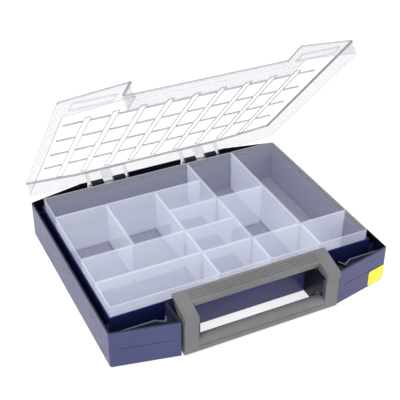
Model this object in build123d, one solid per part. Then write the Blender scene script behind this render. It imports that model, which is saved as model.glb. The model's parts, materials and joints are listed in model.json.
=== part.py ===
from build123d import *
import math
import os

# Carry case for small parts: an open-topped case, a clear hinged lid, a front handle that also
# latches the lid, and loose lift-out bins on a 39 x 55 mm module.  Millimetres, +Z up.
# The origin is on the table, under the middle of the bin field.  -Y is the handle side.

# ---------------------------------------------------------------- driving dimensions
# Bin field
MODULE_X = 39.0
MODULE_Y = 55.0
COLUMNS = 10
ROWS = 5
BIN_TOP_Z = 72.0          # bin rims above the table
BIN_WALL = 1.2
BIN_FLOOR = 1.5
BIN_GAP = 0.8             # between the rims of two neighbours
BIN_DRAFT_DEG = 0.8
BIN_CORNER_R = 2.2
BIN_BUMP = 3.2            # side of the small square bumps in the floor corners
BIN_BUMP_H = 1.6
BIN_SEAT_GAP = 0.2        # under the bins

# Case
SIDE_GAP = 14.0           # bin field to the case's sides
BIN_PROUD = 14.5          # bin rims above the case's rim
CASE_WALL = 2.6
CASE_FLOOR = 2.6
CASE_CORNER_R = 4.0
CASE_BOTTOM_R = 1.6
FRONT_CORNER_GAP = 29.0   # bin field to the case's front corners
WING_TIP_GAP = 48.5       # bin field to the tips of the two front wings
BACK_CORNER_GAP = 20.0    # bin field to the back corners
BACK_GAP = 38.0           # bin field to the flat of the back
BACK_FLAT = 250.0         # width of that flat
RIM_STEP_W = 1.3          # outer step of the rim, under the lid's lip
RIM_STEP_H = 1.3
POCKET_WALL_CLEAR = 0.5   # bin field to the inner face of the handle pocket's wall
WING_SHELF_DROP = 4.0     # shelf in each wing, below the rim
WING_SHELF_T = 2.0
WING_RIB_T = 2.2
WING_RIB_DROP = 1.2
WING_RIB_Y = 0.3          # rib in front of the case's front corners
WING_RIB_BEND = 27.9      # pocket's side to where the rib bends forward
WING_RIB_TIP = (16.2, 7.8)      # its foremost point: from the pocket's side, and in front
WING_RIB_END = (12.0, -0.7)     # its end, in the same way
WING_LINE_Z = 29.0        # shallow line across the wing faces
WING_LINE_H = 0.8
WING_LINE_D = 0.4
WING_LINE_IN = 11.4       # its ends, from the corners of the wing

# Fence round the bins, in line with the pocket's wall, and webs from its corners
FENCE_T = 1.8
FENCE_DROP = 0.5          # below the rim
WEB_T = 1.8
WEB_DROP = 9.5

# Handle, as stored: its legs upright and its bar let go of the lid
HANDLE_CLEAR = 3.2        # handle to wing, each side
ARM_W = 19.6
ARM_WALL = 2.4
HANDLE_TOP_DROP = 2.1     # rear edge of the top plates, below the lid's top
HANDLE_REAR_GAP = 9.2     # rear edge to the pocket's wall
HANDLE_SLOPE_DEG = 16.6   # the top plates fall towards the front
HANDLE_LATCH_DEG = 11.0   # from stored to latched
HANDLE_FOOT_Z = 1.6       # above the table
HANDLE_FOOT_R = 3.0
HANDLE_FRONT_OVER = 4.2   # leg faces in front of the wing tips
BAND_H = 11.4
BAND_PROUD = 2.5
BAR_DEPTH = 20.7
BAR_T = 3.6
BAR_LIP = 3.0
LEG_DEPTH = 23.0
GRIP_H = 19.5
GRIP_DEPTH = 19.0
GRIP_TOP_R = 9.0
GRIP_LINE = 1.2
GROOVE_COUNT = 4
GROOVE_W = 1.2
GROOVE_D = 0.6
GROOVE_PITCH = 3.6
PIVOT_BACK = 19.2         # handle's axis behind the leg faces
STUB_R = 4.5
STUB_BORE_R = 2.3
STUB_FIT = 0.05
STUB_END_GAP = 0.3
STUB_SEAT = 2.0           # depth of the blind bearings in the ears

# Ears that carry the handle, at the ends of the pocket
EAR_INNER_X = 92.2        # from the middle
EAR_T = 2.8
EAR_GAP = 0.35            # ear to arm
EAR_FRONT_DROP = 2.5      # ear front behind the leg faces
EAR_NOSE_R = 5.0
EAR_TOP_GAP = 1.0         # under the lid's lip
EAR_FOOT_Z = 1.0
EAR_GRIP_GAP = 3.6        # cut-out round the grip
EAR_GRIP_R = 6.0
EAR_BEARING_WALL = 0.8    # under the handle's stubs
EAR_HOLE_R = 2.2          # small hole behind the grip
EAR_HOLE_WALL = 2.0
EAR_HOLE_Z = 10.0

# Lid
LID_T = 3.4
LID_BIN_CLEAR = 2.6       # lid's underside above the bins
LID_SKIRT_T = 2.2
LID_SEAT_GAP = 0.3
LID_TOP_R = 3.0
LID_OPEN_DEG = 48.0       # stored pose, from closed
CATCH_REACH = 2.6         # bead that the handle bar hooks over
CATCH_T = 2.0
CATCH_BAR_GAP = 0.45
CHANNEL_D = 1.4           # channels in the underside
CHANNEL_X = 9.0           # width of those between the columns
CHANNEL_Y = 4.0           # width of those across
CHANNEL_FRONT = 45.5      # ends of the long channels: from the bin field's front
CHANNEL_BACK = 20.5       # and behind its back
CHANNEL_SIDE = 7.0        # ends of the cross channels, inside the bin field's sides
CHANNEL_ROWS = 4
CHANNEL_STRETCH = 3.4     # the cross channels' pitch, beyond the bins' module
CHANNEL_SHIFT = 8.4       # the middle of them, behind the middle of the bins
FLAP_RIB_T = 1.6
FLAP_RIB_H = 2.4
FLAP_IN = 12.9            # rib frame of a flap: from the pocket's side
FLAP_OUT = 18.0           # from the case's side
FLAP_FRONT = 6.6          # from the front corner
FLAP_REAR = 1.5           # from the front of the bins
TAB_RIB_T = 2.0           # ribs between the hinge tabs
TAB_RIB_H = 2.5

# Lid hinge
HINGE_IN = 5.5            # axis in front of the case's back face
HINGE_DROP = 4.3          # axis below the rim
HINGE_GROUP_X = 80.0      # the two hinge groups, each side of the middle
TAB_PITCH = 31.0          # outer tabs from the middle of their group
TAB_W = 5.0
MIDDLE_TAB_W = 16.0
TAB_R = 5.0
TAB_SIDE_GAP = 0.4
ARM_T = 5.0
PIN_R = 1.5
PIN_FIT = 0.05
PIN_LAND = 2.0            # pin end inside the last knuckle
KNUCKLE_FOOT = 12.9       # foot of the knuckles' brackets, below the axis
LID_SLOT_H = 2.5          # slot over the rim along the back, so that the lid can swing
LID_SLOT_FRONT = 1.0      # slot begins this far in front of the axis
WINDOW_DEPTH = 6.2        # windows behind the tabs, below the axis

# Corner tag
TAG_W = 32.0
TAG_H = 25.0
TAG_FOOT_Z = 1.8
TAG_T = 1.5
TAG_PROUD = 0.3
TAG_WRAP = 12.0
TAG_CORNER_R = 4.0

# ---------------------------------------------------------------- derived places
FIELD_X = COLUMNS * MODULE_X / 2
FIELD_Y = ROWS * MODULE_Y / 2
HALF_W = FIELD_X + SIDE_GAP
CASE_RIM_Z = BIN_TOP_Z - BIN_PROUD
FRONT_Y = -(FIELD_Y + FRONT_CORNER_GAP)
TIP_Y = -(FIELD_Y + WING_TIP_GAP)
BACK_CORNER_Y = FIELD_Y + BACK_CORNER_GAP
BACK_Y = FIELD_Y + BACK_GAP
POCKET_Y = -(FIELD_Y + POCKET_WALL_CLEAR + CASE_WALL)

LEG_Y = TIP_Y - HANDLE_FRONT_OVER
EAR_OUTER_X = EAR_INNER_X + EAR_T
ARM_INNER_X = EAR_OUTER_X + EAR_GAP
ARM_OUTER_X = ARM_INNER_X + ARM_W
WING_X = ARM_OUTER_X + HANDLE_CLEAR
PIVOT_Y = LEG_Y + PIVOT_BACK
PIVOT_Z = HANDLE_FOOT_Z + GRIP_H + EAR_GRIP_GAP + EAR_BEARING_WALL + STUB_R

LID_SKIRT_Z = CASE_RIM_Z + LID_SEAT_GAP
LID_UNDER_Z = BIN_TOP_Z + LID_BIN_CLEAR
LID_TOP_Z = LID_UNDER_Z + LID_T
HANDLE_REAR_Y = POCKET_Y - HANDLE_REAR_GAP
HANDLE_REAR_Z = LID_TOP_Z - HANDLE_TOP_DROP
HINGE_Y = BACK_Y - HINGE_IN
HINGE_Z = CASE_RIM_Z - HINGE_DROP
HINGE_HALF = TAB_PITCH + TAB_W / 2

# Bins by name: first and last column, first and last row, counted from the front left
BINS = {
    "bin_back_long": (0, 6, 4, 5),
    "bin_left_square": (0, 2, 2, 4),
    "bin_middle_square": (2, 4, 2, 4),
    "bin_middle_small_rear": (4, 6, 3, 4),
    "bin_middle_small_centre": (4, 6, 2, 3),
    "bin_left_wide_rear": (0, 4, 1, 2),
    "bin_left_wide_front": (0, 4, 0, 1),
    "bin_middle_small_low": (4, 6, 1, 2),
    "bin_middle_small_front": (4, 6, 0, 1),
    "bin_right_small_front": (6, 8, 0, 1),
    "bin_right_square_rear": (6, 8, 3, 5),
    "bin_right_square_front": (6, 8, 1, 3),
    "bin_right_large": (8, 10, 1, 5),
    "bin_corner_small": (8, 10, 0, 1),
}


# ---------------------------------------------------------------- helpers
def box(x0, x1, y0, y1, z0, z1):
    """Box between opposite corners."""
    size = (abs(x1 - x0), abs(y1 - y0), abs(z1 - z0))
    return Pos((x0 + x1) / 2, (y0 + y1) / 2, (z0 + z1) / 2) * Box(*size)


def rod(x0, x1, y, z, radius):
    """Round bar along X."""
    return Pos((x0 + x1) / 2, y, z) * Rot(0, 90, 0) * Cylinder(radius, abs(x1 - x0))


def side_plate(points, x0, x1):
    """Plate with an outline in (y, z), from x0 to x1."""
    face = Plane.YZ * make_face(Polyline(*points, close=True))
    return Pos(x0, 0, 0) * extrude(face, amount=x1 - x0, dir=(1, 0, 0))


def plan(points, z0, z1):
    """Upright solid with an outline in (x, y)."""
    return extrude(Pos(0, 0, z0) * make_face(Polyline(*points, close=True)), amount=z1 - z0)


def mirrored(shape):
    """A shape and its twin on the other side of the middle."""
    return shape + mirror(shape, about=Plane.YZ)


def turned(shape, y, z, degrees):
    """Turn about an axis along X."""
    return Pos(0, y, z) * Rot(degrees, 0, 0) * Pos(0, -y, -z) * shape


def handle_top(y):
    """Height of the stored handle's top plates."""
    return HANDLE_REAR_Z - (HANDLE_REAR_Y - y) * math.tan(math.radians(HANDLE_SLOPE_DEG))


def latched_z(y, z):
    """Height of a point of the stored handle once the handle is latched."""
    turn = math.radians(HANDLE_LATCH_DEG)
    return PIVOT_Z - (y - PIVOT_Y) * math.sin(turn) + (z - PIVOT_Z) * math.cos(turn)


def one(shape):
    """The solid of a shape that is one piece."""
    solids = shape.solids()
    if len(solids) != 1:
        raise ValueError(f"expected one solid, got {len(solids)}")
    return solids[0]


def outline():
    """Plan outline of the case and the lid."""
    half = [
        (WING_X, POCKET_Y),
        (WING_X, TIP_Y),
        (HALF_W, FRONT_Y),
        (HALF_W, BACK_CORNER_Y),
        (BACK_FLAT / 2, BACK_Y),
    ]
    return half + [(-x, y) for x, y in reversed(half)]


def moved_in(points, inset):
    """A counter-clockwise outline with every side moved in by inset."""
    result = []
    for index, here in enumerate(points):
        before, after = Vector(points[index - 1]), Vector(points[(index + 1) % len(points)])
        here = Vector(here)
        side_in, side_out = (here - before).normalized(), (after - here).normalized()
        normals = Vector(-side_in.Y, side_in.X) + Vector(-side_out.Y, side_out.X)
        scale = inset / (1 + side_in.dot(side_out))
        result.append((here.X + normals.X * scale, here.Y + normals.Y * scale))
    return result


def shell_block(z0, z1, inset=0.0):
    """Solid block of the outline, moved in by inset, with rounded outer corners."""
    block = plan(moved_in(outline(), inset), z0, z1)
    corners = [e for e in block.edges().filter_by(Axis.Z) if abs(e.center().X) > HALF_W - inset - 1]
    return fillet(corners, CASE_CORNER_R - inset)


def wall_between(start, end, thickness, z0, z1):
    """Upright wall along a line in plan, with its ends half its thickness beyond the points."""
    start, end = Vector(start), Vector(end)
    along = (end - start).normalized() * (thickness / 2)
    side = Vector(-along.Y, along.X)
    start, end = start - along, end + along
    corners = [start - side, end - side, end + side, start + side]
    return plan([(corner.X, corner.Y) for corner in corners], z0, z1)


def bin_fence():
    """Wall round the bin field, and a web from each of its corners to the case's sides."""
    x, y = FIELD_X + POCKET_WALL_CLEAR, FIELD_Y + POCKET_WALL_CLEAR
    top = CASE_RIM_Z - FENCE_DROP
    fence = box(-x - FENCE_T, x + FENCE_T, -y - FENCE_T, y + FENCE_T, CASE_FLOOR / 2, top)
    fence -= box(-x, x, -y, y, 0, top + 1)
    reach = HALF_W - CASE_WALL / 2
    for side in (-1, 1):
        for end in (-1, 1):
            fence += box(side * (x + FENCE_T / 2), side * reach, end * y, end * (y + WEB_T),
                         CASE_FLOOR / 2, CASE_RIM_Z - WEB_DROP)
    return fence


def wing_rib():
    """Rib across the right wing, which bends forward beside the handle pocket."""
    points = [
        (HALF_W, FRONT_Y - WING_RIB_Y),
        (WING_X + WING_RIB_BEND, FRONT_Y - WING_RIB_Y),
        (WING_X + WING_RIB_TIP[0], FRONT_Y - WING_RIB_TIP[1]),
        (WING_X + WING_RIB_END[0], FRONT_Y - WING_RIB_END[1]),
    ]
    top = CASE_RIM_Z - WING_RIB_DROP
    walls = [wall_between(a, b, WING_RIB_T, CASE_FLOOR / 2, top) for a, b in zip(points, points[1:])]
    return walls[0] + walls[1:]


# ---------------------------------------------------------------- case
def tag_prism(grow):
    """Rounded block through the right wing's face, where the corner tag sits."""
    run = Vector(HALF_W - WING_X, FRONT_Y - TIP_Y, 0)
    along = run.normalized()
    corner = Vector(HALF_W, FRONT_Y, 0)
    normal = Vector(along.Y, -along.X, 0)
    middle = corner - along * ((TAG_W - CASE_CORNER_R) / 2)
    frame = Plane(origin=middle + Vector(0, 0, TAG_FOOT_Z + TAG_H / 2), x_dir=along, z_dir=normal)
    face = RectangleRounded(TAG_W + CASE_CORNER_R + grow, TAG_H + grow, TAG_CORNER_R)
    return extrude(frame * face, amount=TAG_WRAP, both=True)


def tag_band(proud, depth):
    """Band of the case's front corner skin, from proud outside to depth inside."""
    z0, z1 = TAG_FOOT_Z - 1, TAG_FOOT_Z + TAG_H + 1
    return shell_block(z0, z1, -proud) - shell_block(z0 - 1, z1 + 1, depth)


def case_knuckles():
    """Hinge knuckles between the lid's tabs, fused to the back wall."""
    near = MIDDLE_TAB_W / 2 + TAB_SIDE_GAP
    far = TAB_PITCH - TAB_W / 2 - TAB_SIDE_GAP
    result = None
    for middle in (-HINGE_GROUP_X, HINGE_GROUP_X):
        for side in (-1, 1):
            x0, x1 = sorted((middle + side * near, middle + side * far))
            knuckle = rod(x0, x1, HINGE_Y, HINGE_Z, HINGE_DROP - TAB_SIDE_GAP)
            knuckle += side_plate(
                [
                    (HINGE_Y, HINGE_Z + HINGE_DROP - TAB_SIDE_GAP),
                    (HINGE_Y, HINGE_Z - HINGE_DROP),
                    (BACK_Y - CASE_WALL / 2, HINGE_Z - KNUCKLE_FOOT),
                    (BACK_Y - CASE_WALL / 2, HINGE_Z + HINGE_DROP - TAB_SIDE_GAP),
                ],
                x0,
                x1,
            )
            result = knuckle if result is None else result + knuckle
    return result


def tab_spans():
    """X spans of every lid tab."""
    spans = []
    for middle in (-HINGE_GROUP_X, HINGE_GROUP_X):
        spans.append((middle - MIDDLE_TAB_W / 2, middle + MIDDLE_TAB_W / 2))
        for side in (-1, 1):
            x = middle + side * TAB_PITCH
            spans.append((x - TAB_W / 2, x + TAB_W / 2))
    return spans


def pocket_ear():
    """Plate at the right end of the handle pocket, with the bearing for the handle stub."""
    root = POCKET_Y + CASE_WALL
    front = LEG_Y + EAR_FRONT_DROP
    top = CASE_RIM_Z - RIM_STEP_H - EAR_TOP_GAP
    ear = box(EAR_INNER_X, EAR_OUTER_X, front, root, EAR_FOOT_Z, top)
    top_edges = [e for e in ear.edges().filter_by(Axis.X) if e.center().Z > top - 1]
    ear = fillet([e for e in top_edges if e.center().Y < front + 1], EAR_NOSE_R)

    # Cut-out round the grip
    cut_y = LEG_Y + GRIP_DEPTH + EAR_GRIP_GAP
    cut_z = HANDLE_FOOT_Z + GRIP_H + EAR_GRIP_GAP
    cut = box(EAR_INNER_X - 1, EAR_OUTER_X + 1, front - 1, cut_y, 0, cut_z)
    cut_edges = [e for e in cut.edges().filter_by(Axis.X) if e.center().Z > cut_z - 1]
    ear -= fillet([e for e in cut_edges if e.center().Y > cut_y - 1], EAR_GRIP_R)

    ear -= rod(EAR_OUTER_X - STUB_SEAT, EAR_OUTER_X + 1, PIVOT_Y, PIVOT_Z, STUB_R + STUB_FIT)
    hole_y = cut_y + EAR_HOLE_WALL + EAR_HOLE_R
    return ear - rod(EAR_INNER_X - 1, EAR_OUTER_X + 1, hole_y, EAR_HOLE_Z, EAR_HOLE_R)


def make_case():
    case = shell_block(0, CASE_RIM_Z)
    case = fillet(case.faces().sort_by(Axis.Z)[0].edges(), CASE_BOTTOM_R)
    case -= shell_block(CASE_FLOOR, CASE_RIM_Z + 1, CASE_WALL)
    case += bin_fence()

    # Wings: an upright rib across each, and a shelf in front of it
    inside = shell_block(CASE_FLOOR / 2, CASE_RIM_Z, CASE_WALL / 2)
    shelf_top = CASE_RIM_Z - WING_SHELF_DROP
    shelf = box(WING_X, HALF_W, TIP_Y, FRONT_Y - WING_RIB_Y, shelf_top - WING_SHELF_T, shelf_top)
    case += mirrored(wing_rib() + shelf) & inside
    line = shell_block(WING_LINE_Z, WING_LINE_Z + WING_LINE_H)
    line -= shell_block(WING_LINE_Z - 1, WING_LINE_Z + WING_LINE_H + 1, WING_LINE_D)
    face = box(WING_X + WING_LINE_IN, HALF_W - WING_LINE_IN, TIP_Y, FRONT_Y + 1, 0, CASE_RIM_Z)
    case -= line & mirrored(face)

    # Outer step of the rim, under the lid's lip
    step = shell_block(CASE_RIM_Z - RIM_STEP_H, CASE_RIM_Z + 1, -1)
    case -= step - shell_block(CASE_RIM_Z - RIM_STEP_H - 1, CASE_RIM_Z + 2, RIM_STEP_W)

    # Hinge: windows behind the lid's tabs, knuckles between them
    case += case_knuckles()
    for x0, x1 in tab_spans():
        case -= box(x0 - TAB_SIDE_GAP, x1 + TAB_SIDE_GAP, HINGE_Y - TAB_R - TAB_SIDE_GAP, BACK_Y + 1,
                    HINGE_Z - WINDOW_DEPTH, CASE_RIM_Z + 1)
    for middle in (-HINGE_GROUP_X, HINGE_GROUP_X):
        case -= rod(middle - HINGE_HALF, middle + HINGE_HALF, HINGE_Y, HINGE_Z, PIN_R)

    # Handle ears and the seat of the corner tag
    case += mirrored(pocket_ear())
    case -= tag_prism(0) & tag_band(1, TAG_T)
    return one(case)


# ---------------------------------------------------------------- lid, modelled closed
def lid_channels():
    """Crossing channels in the lid's underside."""
    z0, z1 = LID_UNDER_Z - 1, LID_UNDER_Z + CHANNEL_D
    channels = []
    for column in range(1, COLUMNS):
        x = -FIELD_X + column * MODULE_X
        channels.append(box(x - CHANNEL_X / 2, x + CHANNEL_X / 2, -FIELD_Y + CHANNEL_FRONT,
                            FIELD_Y + CHANNEL_BACK, z0, z1))
    pitch = MODULE_Y + CHANNEL_STRETCH
    reach = FIELD_X - CHANNEL_SIDE
    for row in range(CHANNEL_ROWS):
        y = CHANNEL_SHIFT + (row - (CHANNEL_ROWS - 1) / 2) * pitch
        channels.append(box(-reach, reach, y - CHANNEL_Y / 2, y + CHANNEL_Y / 2, z0, z1))
    return channels


def flap_frame():
    """Rectangular rib frame under the right flap."""
    x0, x1 = WING_X + FLAP_IN, HALF_W - FLAP_OUT
    y0, y1 = FRONT_Y + FLAP_FRONT, -FIELD_Y + FLAP_REAR
    z0 = LID_UNDER_Z - FLAP_RIB_H
    frame = box(x0, x1, y0, y1, z0, LID_UNDER_Z)
    return frame - box(x0 + FLAP_RIB_T, x1 - FLAP_RIB_T, y0 + FLAP_RIB_T, y1 - FLAP_RIB_T,
                       z0 - 1, LID_UNDER_Z)


def make_lid():
    lid = shell_block(LID_SKIRT_Z - RIM_STEP_H, LID_TOP_Z)
    lid = fillet(lid.faces().sort_by(Axis.Z)[-1].edges(), LID_TOP_R)
    lid -= shell_block(LID_SKIRT_Z - RIM_STEP_H - 1, LID_UNDER_Z, LID_SKIRT_T)
    lid -= shell_block(LID_SKIRT_Z - RIM_STEP_H - 1, LID_SKIRT_Z, RIM_STEP_W - LID_SEAT_GAP)
    lid -= lid_channels()
    lid += mirrored(flap_frame())

    # Bead along the notch, which the handle's bar hooks over when it is latched
    catch_z = latched_z(HANDLE_REAR_Y, HANDLE_REAR_Z - BAR_T) - CATCH_BAR_GAP
    lid += box(-ARM_OUTER_X, ARM_OUTER_X, POCKET_Y - CATCH_REACH, POCKET_Y + LID_SKIRT_T / 2,
               catch_z - CATCH_T, catch_z)

    # Slot along the back, so that the skirt swings clear of the case
    lid -= box(-HALF_W, HALF_W, HINGE_Y - LID_SLOT_FRONT, BACK_Y + 1, 0, CASE_RIM_Z + LID_SLOT_H)

    # Ribs between the hinge tabs
    for middle in (-HINGE_GROUP_X, HINGE_GROUP_X):
        for side in (-1, 1):
            lid += box(middle + side * MIDDLE_TAB_W / 4, middle + side * TAB_PITCH,
                       HINGE_Y - TAB_RIB_T, HINGE_Y, LID_UNDER_Z - TAB_RIB_H, LID_UNDER_Z)

    # Hinge tabs: a round end on the pin and an arm up to the panel
    for x0, x1 in tab_spans():
        tab = rod(x0, x1, HINGE_Y, HINGE_Z, TAB_R)
        tab += box(x0, x1, HINGE_Y - TAB_R, HINGE_Y - TAB_R + ARM_T, HINGE_Z, LID_UNDER_Z + LID_T / 2)
        lid += tab
        lid -= rod(x0 - 1, x1 + 1, HINGE_Y, HINGE_Z, PIN_R + PIN_FIT)
    return one(lid)


# ---------------------------------------------------------------- handle
def grip_section():
    """Grip between the arms: flat front and bottom, rounded top."""
    y0, y1 = LEG_Y, LEG_Y + GRIP_DEPTH
    z0, z1 = HANDLE_FOOT_Z, HANDLE_FOOT_Z + GRIP_H
    bar = box(-ARM_INNER_X - ARM_WALL / 2, ARM_INNER_X + ARM_WALL / 2, y0, y1, z0, z1)
    long_edges = bar.edges().filter_by(Axis.X)
    bar = fillet([e for e in long_edges if e.center().Z > z1 - 1], GRIP_TOP_R)
    low_edges = bar.edges().filter_by(Axis.X).filter_by(lambda e: e.center().Z < z0 + 1)
    bar = fillet(low_edges, HANDLE_FOOT_R)
    groove_z = z0 + GRIP_H - GRIP_TOP_R - GRIP_LINE
    return bar - box(-ARM_INNER_X, ARM_INNER_X, y0 - 1, y0 + GRIP_LINE / 2, groove_z, groove_z + GRIP_LINE)


def handle_arm():
    """Right arm: sloping top plate, leg with a band at its top, hollow towards the case."""
    front, back, rear = LEG_Y - BAND_PROUD, LEG_Y + LEG_DEPTH, HANDLE_REAR_Y
    band_z = handle_top(front) - BAND_H
    points = [(rear, handle_top(rear)), (front, handle_top(front)), (front, band_z), (LEG_Y, band_z),
              (LEG_Y, HANDLE_FOOT_Z), (back, HANDLE_FOOT_Z), (back, handle_top(back) - BAR_T - BAND_H),
              (back + BAND_H, handle_top(back + BAND_H) - BAR_T), (rear, handle_top(rear) - BAR_T)]
    arm = side_plate(points, ARM_INNER_X, ARM_OUTER_X)
    foot = [e for e in arm.edges().filter_by(Axis.X) if e.center().Z < HANDLE_FOOT_Z + 1]
    arm = fillet(foot, HANDLE_FOOT_R)
    inner, floor = LEG_Y + ARM_WALL, HANDLE_FOOT_Z + ARM_WALL
    arm -= side_plate(
        [(inner, floor), (rear, floor), (rear, handle_top(rear) - BAR_T), (inner, handle_top(inner) - BAR_T)],
        ARM_INNER_X + ARM_WALL,
        ARM_OUTER_X - ARM_WALL,
    )
    tip = EAR_OUTER_X - STUB_SEAT + STUB_END_GAP
    arm += rod(tip, ARM_INNER_X + ARM_WALL, PIVOT_Y, PIVOT_Z, STUB_R)
    return arm - rod(tip - 1, ARM_INNER_X + ARM_WALL + 1, PIVOT_Y, PIVOT_Z, STUB_BORE_R)


def handle_bar():
    """Bar between the arms: in the plane of their top plates, with a lip along its front."""
    front, rear = HANDLE_REAR_Y - BAR_DEPTH, HANDLE_REAR_Y
    points = [(rear, handle_top(rear)), (front, handle_top(front)),
              (front, handle_top(front) - BAR_T - BAR_LIP),
              (front + ARM_WALL, handle_top(front) - BAR_T - BAR_LIP),
              (front + ARM_WALL, handle_top(front + ARM_WALL) - BAR_T), (rear, handle_top(rear) - BAR_T)]
    bar = side_plate(points, -ARM_INNER_X - ARM_WALL / 2, ARM_INNER_X + ARM_WALL / 2)
    for index in range(GROOVE_COUNT):
        y = (front + rear) / 2 + (index - (GROOVE_COUNT - 1) / 2) * GROOVE_PITCH
        z = handle_top(y)
        groove = box(-ARM_INNER_X, ARM_INNER_X, y - GROOVE_W / 2, y + GROOVE_W / 2, z - GROOVE_D, z + 1)
        bar -= turned(groove, y, z, HANDLE_SLOPE_DEG)
    return bar


def make_handle():
    return one(handle_bar() + mirrored(handle_arm()) + grip_section())


# ---------------------------------------------------------------- bins
def make_bin(first_column, last_column, first_row, last_row):
    """Thin open box with drafted walls and a bump in each floor corner."""
    width = (last_column - first_column) * MODULE_X - BIN_GAP
    depth = (last_row - first_row) * MODULE_Y - BIN_GAP
    x = -FIELD_X + (first_column + last_column) / 2 * MODULE_X
    y = -FIELD_Y + (first_row + last_row) / 2 * MODULE_Y
    height = BIN_TOP_Z - CASE_FLOOR - BIN_SEAT_GAP
    rim = Pos(x, y, BIN_TOP_Z)
    outer = rim * RectangleRounded(width, depth, BIN_CORNER_R)
    inner = rim * RectangleRounded(width - 2 * BIN_WALL, depth - 2 * BIN_WALL, BIN_CORNER_R - BIN_WALL)
    tub = extrude(outer, amount=height, dir=(0, 0, -1), taper=BIN_DRAFT_DEG)
    tub -= extrude(inner, amount=height - BIN_FLOOR, dir=(0, 0, -1), taper=BIN_DRAFT_DEG)
    shrink = height * math.tan(math.radians(BIN_DRAFT_DEG)) + BIN_WALL + BIN_BUMP
    floor_z = BIN_TOP_Z - height + BIN_FLOOR
    for sx in (-1, 1):
        for sy in (-1, 1):
            bx = x + sx * (width / 2 - shrink)
            by = y + sy * (depth / 2 - shrink)
            half = BIN_BUMP / 2
            tub += box(bx - half, bx + half, by - half, by + half,
                       floor_z - BIN_FLOOR / 2, floor_z + BIN_BUMP_H)
    return one(tub)


# ---------------------------------------------------------------- small pieces
def make_pin(side):
    """Steel hinge pin, held in the case's knuckles."""
    middle = side * HINGE_GROUP_X
    reach = HINGE_HALF - PIN_LAND / 2
    return one(rod(middle - reach, middle + reach, HINGE_Y, HINGE_Z, PIN_R))


def make_tag():
    """Coloured tag wrapped round the lower right front corner."""
    return one(tag_prism(0) & tag_band(TAG_PROUD, TAG_T))


os.makedirs("parts", exist_ok=True)
export_step(make_case(), "parts/case.step")
export_step(turned(make_lid(), HINGE_Y, HINGE_Z, -LID_OPEN_DEG), "parts/lid.step")
export_step(make_handle(), "parts/handle.step")
export_step(make_pin(-1), "parts/hinge_pin_left.step")
export_step(make_pin(1), "parts/hinge_pin_right.step")
export_step(make_tag(), "parts/corner_tag.step")
for name, cells in BINS.items():
    export_step(make_bin(*cells), f"parts/{name}.step")
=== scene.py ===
import json
import math

import bpy
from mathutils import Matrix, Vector


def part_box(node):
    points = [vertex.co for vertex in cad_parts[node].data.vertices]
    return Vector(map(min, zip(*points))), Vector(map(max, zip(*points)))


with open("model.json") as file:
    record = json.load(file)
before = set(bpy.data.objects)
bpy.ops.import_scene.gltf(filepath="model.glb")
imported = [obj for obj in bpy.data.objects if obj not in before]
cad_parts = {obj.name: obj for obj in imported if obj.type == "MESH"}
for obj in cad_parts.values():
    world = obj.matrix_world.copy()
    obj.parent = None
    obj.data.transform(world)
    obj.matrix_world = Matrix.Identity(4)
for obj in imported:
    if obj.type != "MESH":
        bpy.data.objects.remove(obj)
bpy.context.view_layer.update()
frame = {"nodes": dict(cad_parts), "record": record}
nodes = frame["nodes"]
scene = bpy.context.scene
scene.view_settings.view_transform = "Standard"

MM = 0.001

# patterns go from their first end to their second between these two noise values
NOISE_LOW = 0.3
NOISE_HIGH = 0.7

# a colour Mix node's sockets go by number, since others on it have the same names
MIX_FACTOR, MIX_FIRST, MIX_SECOND, MIX_RESULT = 0, 6, 7, 2

# which way a face looks, as the share of its normal along an axis
LEANS = 0.5               # more than this along Z looks up, less is upright
SIDEWAYS = 0.7
SQUARE_ON = 0.9

SAME_HEIGHT = 0.2 * MM    # heights closer than this count as one

# case
FENCE_REACH = 3.2 * MM    # from the bins' field to the outside of the fence
RIB_TOP = 56.3 * MM

# lid, in heights above the hinge's axis along the panel's normal
PANEL_UNDER = 21.4 * MM
SKIRT_FOOT = 6.0 * MM
# alphas of the lid: how thickly its painted reflection veil and painted channel shade cover the
# clear plastic
PANEL_ALPHA = 0.05
MOUTH_ALPHA = 0.45
SKIRT_ALPHA = 0.16
LINE_ALPHA = 0.75

# bins
WALL_ALPHA = 0.11         # of each face of a wall
FLOOR_ALPHA = 0.12
RIM_ALPHA = 0.3
RIM_BAND = 1.0 * MM       # depth of the band that counts as rim
# painted glow: the bins give off light of their own, standing in for light scattered through the
# milky plastic
BIN_PAINTED_GLOW = 0.5            # light that the milky plastic scatters on

# studio
FLOOR_REACH = 6.0
FLOOR_DROP = 0.5 * MM     # paper under the table plane
FLOOR_GLOW = 0.7
WORLD_STRENGTH = 1.0

# camera, from the middle of the bins' rims
VIEW_AZIMUTH = math.radians(-25.68)
VIEW_ELEVATION = math.radians(33.85)
VIEW_DISTANCE = 1.34686
VIEW_OFFSET = Vector((0.01372, 0.03356, 0))
VIEW_LENS = 81.77
VIEW_SENSOR = 36.0


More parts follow.
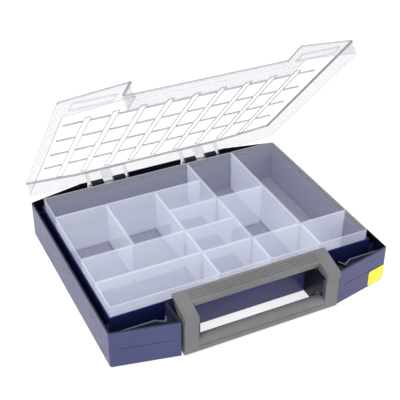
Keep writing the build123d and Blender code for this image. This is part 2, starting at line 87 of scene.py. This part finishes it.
# ---------------------------------------------------------------- material helpers
class Surface:
    """A node material with a Principled shader, and short calls for its usual patterns."""

    def __init__(self, name, colour, roughness):
        self.material = bpy.data.materials.new(name)
        self.material.use_nodes = True
        self.tree = self.material.node_tree
        self.shader = self.tree.nodes["Principled BSDF"]
        self.shader.inputs["Base Color"].default_value = (*colour, 1)
        self.shader.inputs["Roughness"].default_value = roughness
        coordinates = self.add("ShaderNodeTexCoord").outputs
        self.place = coordinates["Object"]
        self.facing = coordinates["Normal"]
        self.normal = None

    def add(self, kind, **settings):
        node = self.tree.nodes.new(kind)
        for key, value in settings.items():
            setattr(node, key, value)
        return node

    def link(self, output, socket):
        self.tree.links.new(output, socket)

    # patterns
    def noise(self, size, detail, stretch=(1, 1, 1)):
        """Noise whose features are about size across, in metres."""
        place = self.place
        if stretch != (1, 1, 1):
            mapping = self.add("ShaderNodeMapping")
            mapping.inputs["Scale"].default_value = stretch
            self.link(self.place, mapping.inputs["Vector"])
            place = mapping.outputs["Vector"]
        node = self.add("ShaderNodeTexNoise")
        node.inputs["Scale"].default_value = 1 / size
        node.inputs["Detail"].default_value = detail
        self.link(place, node.inputs["Vector"])
        return node.outputs["Fac"]

    def ramp(self, fac, low, high):
        """Blend of two colours by a noise value."""
        node = self.add("ShaderNodeValToRGB")
        for element, position, colour in zip(node.color_ramp.elements,
                                             (NOISE_LOW, NOISE_HIGH), (low, high)):
            element.position = position
            element.color = (*colour, 1)
        self.link(fac, node.inputs["Fac"])
        return node.outputs["Color"]

    def between(self, fac, low, high, start=0.0, end=1.0):
        """A number that goes from low to high as fac goes from start to end."""
        node = self.add("ShaderNodeMapRange")
        node.inputs["From Min"].default_value = start
        node.inputs["From Max"].default_value = end
        node.inputs["To Min"].default_value = low
        node.inputs["To Max"].default_value = high
        self.link(fac, node.inputs["Value"])
        return node.outputs["Result"]

    def mix(self, fac, low, high):
        """Mix of two colour outputs by a mask."""
        node = self.add("ShaderNodeMix", data_type="RGBA")
        self.link(fac, node.inputs[MIX_FACTOR])
        self.link(low, node.inputs[MIX_FIRST])
        self.link(high, node.inputs[MIX_SECOND])
        return node.outputs[MIX_RESULT]

    def colour_between(self, fac, low, high):
        self.link(self.ramp(fac, low, high), self.shader.inputs["Base Color"])

    def roughness_between(self, fac, low, high):
        self.link(self.between(fac, low, high, NOISE_LOW, NOISE_HIGH),
                  self.shader.inputs["Roughness"])

    def bump(self, fac, distance, strength):
        node = self.add("ShaderNodeBump")
        node.inputs["Distance"].default_value = distance
        node.inputs["Strength"].default_value = strength
        self.link(fac, node.inputs["Height"])
        if self.normal is not None:
            self.link(self.normal, node.inputs["Normal"])
        self.normal = node.outputs["Normal"]
        self.link(self.normal, self.shader.inputs["Normal"])

    def round_edges(self, radius):
        node = self.add("ShaderNodeBevel", samples=4)
        node.inputs["Radius"].default_value = radius
        self.normal = node.outputs["Normal"]
        self.link(self.normal, self.shader.inputs["Normal"])

    def glow(self, colour, strength):
        self.shader.inputs["Emission Color"].default_value = (*colour, 1)
        self.shader.inputs["Emission Strength"].default_value = strength

    # masks: outputs that are 1 on some faces and 0 on the rest
    def axes(self):
        """X, Y and Z of the place and of the face's direction, in the object's own axes."""
        split = []
        for vector in (self.place, self.facing):
            node = self.add("ShaderNodeSeparateXYZ")
            self.link(vector, node.inputs["Vector"])
            split.append(node.outputs)
        return split

    def maths(self, kind, first, second=0.0):
        """One arithmetic step; each operand is an output or a number."""
        node = self.add("ShaderNodeMath", operation=kind)
        for socket, value in zip(node.inputs, (first, second)):
            if isinstance(value, (int, float)):
                socket.default_value = value
            else:
                self.link(value, socket)
        return node.outputs["Value"]

    def total(self, first, second):
        return self.maths("ADD", first, second)

    def product(self, first, second):
        return self.maths("MULTIPLY", first, second)

    def size_of(self, value):
        return self.maths("ABSOLUTE", value)

    def above(self, value, limit):
        return self.maths("GREATER_THAN", value, limit)

    def below(self, value, limit):
        return self.maths("LESS_THAN", value, limit)

    def inverse(self, mask):
        return self.maths("SUBTRACT", 1.0, mask)


def case_masks(s):
    """Three masks on the case: outer upright faces, which keep the plain navy while all other
    faces get painted shade; the area under the bins, where that painted shade is lighter and
    bluer; and the ribs' tops, which get a painted highlight.
    """
    low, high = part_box("bin_left_wide_front")[0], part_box("bin_right_large")[1]
    place, facing = s.axes()
    outward = s.above(s.total(s.product(place["X"], facing["X"]),
                              s.product(place["Y"], facing["Y"])), 0.0)
    upright = s.below(facing["Z"], LEANS)
    beside = s.below(s.size_of(place["X"]), high.x + FENCE_REACH)
    behind = s.above(place["Y"], low.y - FENCE_REACH)
    before = s.below(place["Y"], high.y + FENCE_REACH)
    within = s.product(beside, s.product(behind, before))
    outside = s.inverse(within)
    outer = s.product(outward, s.product(upright, outside))
    # flat faces level with the ribs' tops, the rim's outer step among them, which get a painted
    # highlight
    off_rib_top = s.size_of(s.maths("SUBTRACT", place["Z"], RIB_TOP))
    level = s.below(off_rib_top, SAME_HEIGHT)
    lying = s.above(facing["Z"], SQUARE_ON)
    return outer, within, s.product(level, s.product(lying, outside))


# ---------------------------------------------------------------- materials
def navy_shell():
    """Moulded navy plastic, satin outside and glossy inside; the inner faces are darkened with
    painted shade, near black in the deep channels and dark blue under the bins, and the ribs'
    tops carry a painted highlight.
    """
    s = Surface("navy_shell", (0.05, 0.055, 0.19), 0.3)
    s.shader.inputs["IOR"].default_value = 1.5
    outer, within, rib_highlight_mask = case_masks(s)
    clouds = s.noise(0.06, 3)
    skin = s.ramp(clouds, (0.036, 0.041, 0.135), (0.043, 0.048, 0.155))
    # painted shade: the same navy plastic darkened on inner faces, deepest in the channels,
    # lighter and bluer under the bins
    deep_painted_shade = s.ramp(clouds, (0.004, 0.005, 0.012), (0.006, 0.007, 0.016))
    painted_shade_under_bins = s.ramp(clouds, (0.009, 0.015, 0.08), (0.012, 0.019, 0.095))
    # painted highlight: a light grey on the flat tops at rib height, standing in for light caught
    # along them
    painted_rib_highlight = s.ramp(clouds, (0.07, 0.075, 0.1), (0.09, 0.095, 0.125))
    inside = s.mix(within, deep_painted_shade, painted_shade_under_bins)
    s.link(s.mix(rib_highlight_mask, s.mix(outer, inside, skin), painted_rib_highlight), s.shader.inputs["Base Color"])
    s.link(s.between(outer, 0.16, 0.5), s.shader.inputs["Specular IOR Level"])
    s.roughness_between(s.noise(0.012, 3), 0.3, 0.38)
    s.bump(s.noise(0.02, 2), 0.0001, 0.1)
    return s.material


def clear_lid():
    """Clear moulding shown by transparency: almost unseen on the panel; a pale grey veil of
    painted reflection on the skirts and the flat faces near their foot; painted shade as dark
    lines on the channels' upright walls, where refraction darkens them, darkest on the walls that
    face sideways.
    """
    s = Surface("clear_lid", (0.9, 0.91, 0.94), 0.08)
    hinge = next(joint for joint in frame["record"]["behaviour"]["joints"]
                 if joint["name"] == "lid_hinge")
    tilt = math.radians(-hinge["range_deg"][0])
    place, facing = s.axes()

    def along_panel_normal(parts, origin=(0.0, 0.0)):
        across = s.maths("SUBTRACT", parts["Y"], origin[0])
        up = s.maths("SUBTRACT", parts["Z"], origin[1])
        return s.total(s.product(across, math.sin(tilt)), s.product(up, math.cos(tilt)))

    height = along_panel_normal(place, hinge["pos_m"][1:])
    flat = s.above(s.size_of(along_panel_normal(facing)), SQUARE_ON)
    upright = s.inverse(flat)
    in_panel = s.above(height, PANEL_UNDER - SAME_HEIGHT)
    mouth = s.below(height, SKIRT_FOOT)
    flat_alpha = s.between(mouth, PANEL_ALPHA, MOUTH_ALPHA)
    upright_alpha = s.between(in_panel, SKIRT_ALPHA, LINE_ALPHA)
    s.link(s.total(s.product(flat, flat_alpha), s.product(upright, upright_alpha)),
           s.shader.inputs["Alpha"])
    # painted shade: dark lines on the channels' upright walls, darker where they face sideways; a
    # pale grey painted reflection veil on the rest
    sideways = s.above(s.size_of(facing["X"]), SIDEWAYS)
    painted_reflection_veil = s.ramp(s.noise(0.05, 2), (0.28, 0.29, 0.35), (0.36, 0.37, 0.44))
    across_channel_shade = s.ramp(s.noise(0.02, 2), (0.24, 0.243, 0.265), (0.32, 0.323, 0.35))
    long_channel_shade = s.ramp(s.noise(0.02, 2), (0.01, 0.01, 0.014), (0.02, 0.02, 0.026))
    painted_channel_shade = s.mix(sideways, across_channel_shade, long_channel_shade)
    s.link(s.mix(s.product(in_panel, upright), painted_reflection_veil, painted_channel_shade), s.shader.inputs["Base Color"])
    s.roughness_between(s.noise(0.03, 2), 0.06, 0.14)
    return s.material


def grey_handle():
    """Matt grey moulding with a fine spark texture."""
    s = Surface("grey_handle", (0.17, 0.17, 0.165), 0.5)
    s.round_edges(0.7 * MM)
    s.colour_between(s.noise(0.03, 4), (0.138, 0.139, 0.142), (0.165, 0.166, 0.17))
    s.roughness_between(s.noise(0.002, 3), 0.46, 0.6)
    s.bump(s.noise(0.0009, 3), 0.00004, 0.3)
    return s.material


def yellow_tag():
    """Satin yellow plastic."""
    s = Surface("yellow_tag", (0.95, 0.76, 0.02), 0.35)
    s.round_edges(0.3 * MM)
    s.colour_between(s.noise(0.01, 3), (0.92, 0.74, 0.02), (0.97, 0.8, 0.03))
    s.roughness_between(s.noise(0.002, 3), 0.3, 0.42)
    s.bump(s.noise(0.0008, 2), 0.00002, 0.3)
    return s.material


def pin_steel():
    """Drawn steel wire, with fine lines along the pin."""
    s = Surface("pin_steel", (0.55, 0.55, 0.56), 0.3)
    s.shader.inputs["Metallic"].default_value = 1.0
    lines = s.noise(0.0003, 2, (0.02, 1, 1))
    s.colour_between(lines, (0.45, 0.45, 0.46), (0.62, 0.62, 0.63))
    s.roughness_between(lines, 0.22, 0.4)
    return s.material


def milky_bin():
    """Thin milky polypropylene: see-through walls and floors, denser rims, and a faint painted
    glow standing in for light scattered through the plastic.
    """
    s = Surface("milky_bin", (0.86, 0.88, 0.95), 0.35)
    s.colour_between(s.noise(0.05, 3), (0.86, 0.88, 0.98), (0.9, 0.915, 0.99))
    s.roughness_between(s.noise(0.003, 3), 0.3, 0.42)
    s.bump(s.noise(0.02, 2), 0.0001, 0.15)
    place, facing = s.axes()
    upward = s.above(facing["Z"], LEANS)
    rim = s.above(place["Z"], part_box("bin_back_long")[1].z - RIM_BAND)
    flat = s.between(rim, FLOOR_ALPHA, RIM_ALPHA)
    wall = s.product(s.inverse(upward), WALL_ALPHA)
    s.link(s.total(wall, s.product(upward, flat)), s.shader.inputs["Alpha"])
    # painted glow on the bins, which are no lamp
    s.glow((0.76, 0.8, 1.0), BIN_PAINTED_GLOW)
    return s.material


finishes = {
    "navy_shell": navy_shell(),
    "clear_lid": clear_lid(),
    "grey_handle": grey_handle(),
    "yellow_tag": yellow_tag(),
    "pin_steel": pin_steel(),
    "milky_bin": milky_bin(),
}


def finish_of(node):
    """The finish of a CAD node, by its name."""
    if node.startswith("bin_"):
        return "milky_bin"
    if node.startswith("hinge_pin"):
        return "pin_steel"
    return {"case": "navy_shell", "lid": "clear_lid",
            "handle": "grey_handle", "corner_tag": "yellow_tag"}[node]


for name, node in nodes.items():
    for slot in node.material_slots:
        slot.material = finishes[finish_of(name)]

# ---------------------------------------------------------------- floor
floor_mesh = bpy.data.meshes.new("studio_floor")
corners = [(-FLOOR_REACH, -FLOOR_REACH), (FLOOR_REACH, -FLOOR_REACH),
           (FLOOR_REACH, FLOOR_REACH), (-FLOOR_REACH, FLOOR_REACH)]
floor_mesh.from_pydata([(x, y, -FLOOR_DROP) for x, y in corners], [], [(0, 1, 2, 3)])
floor = bpy.data.objects.new("studio_floor", floor_mesh)
scene.collection.objects.link(floor)
paper = Surface("studio_paper", (0.4, 0.4, 0.4), 0.9)
paper.colour_between(paper.noise(0.4, 2), (0.39, 0.39, 0.395), (0.41, 0.41, 0.41))
paper.bump(paper.noise(0.002, 2), 0.00002, 0.1)
paper.glow((1, 1, 1), FLOOR_GLOW)
floor_mesh.materials.append(paper.material)

# ---------------------------------------------------------------- light
world = bpy.data.worlds.new("studio")
world.use_nodes = True
world.node_tree.nodes["Background"].inputs["Color"].default_value = (1, 1, 1, 1)
world.node_tree.nodes["Background"].inputs["Strength"].default_value = WORLD_STRENGTH
scene.world = world


def softbox(name, place, aim, size, watts):
    """Square area lamp turned towards a point."""
    lamp = bpy.data.lights.new(name, "AREA")
    lamp.size = size
    lamp.energy = watts
    box = bpy.data.objects.new(name, lamp)
    box.location = place
    box.rotation_euler = (Vector(aim) - Vector(place)).to_track_quat("-Z", "Y").to_euler()
    scene.collection.objects.link(box)


middle = Vector((0, 0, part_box("bin_back_long")[1].z))
softbox("key_softbox", place=(-0.7, -0.5, 1.5), aim=middle, size=1.0, watts=7)
softbox("fill_softbox", place=(1.2, -1.1, 0.9), aim=middle, size=1.2, watts=5)

# ---------------------------------------------------------------- camera
back = Vector((math.sin(VIEW_AZIMUTH) * math.cos(VIEW_ELEVATION),
               -math.cos(VIEW_AZIMUTH) * math.cos(VIEW_ELEVATION),
               math.sin(VIEW_ELEVATION)))
lens = bpy.data.cameras.new("photo_camera")
lens.lens = VIEW_LENS
lens.sensor_width = VIEW_SENSOR
camera = bpy.data.objects.new("photo_camera", lens)
camera.location = middle + VIEW_OFFSET + back * VIEW_DISTANCE
camera.rotation_euler = (-back).to_track_quat("-Z", "Y").to_euler()
scene.collection.objects.link(camera)
scene.camera = camera
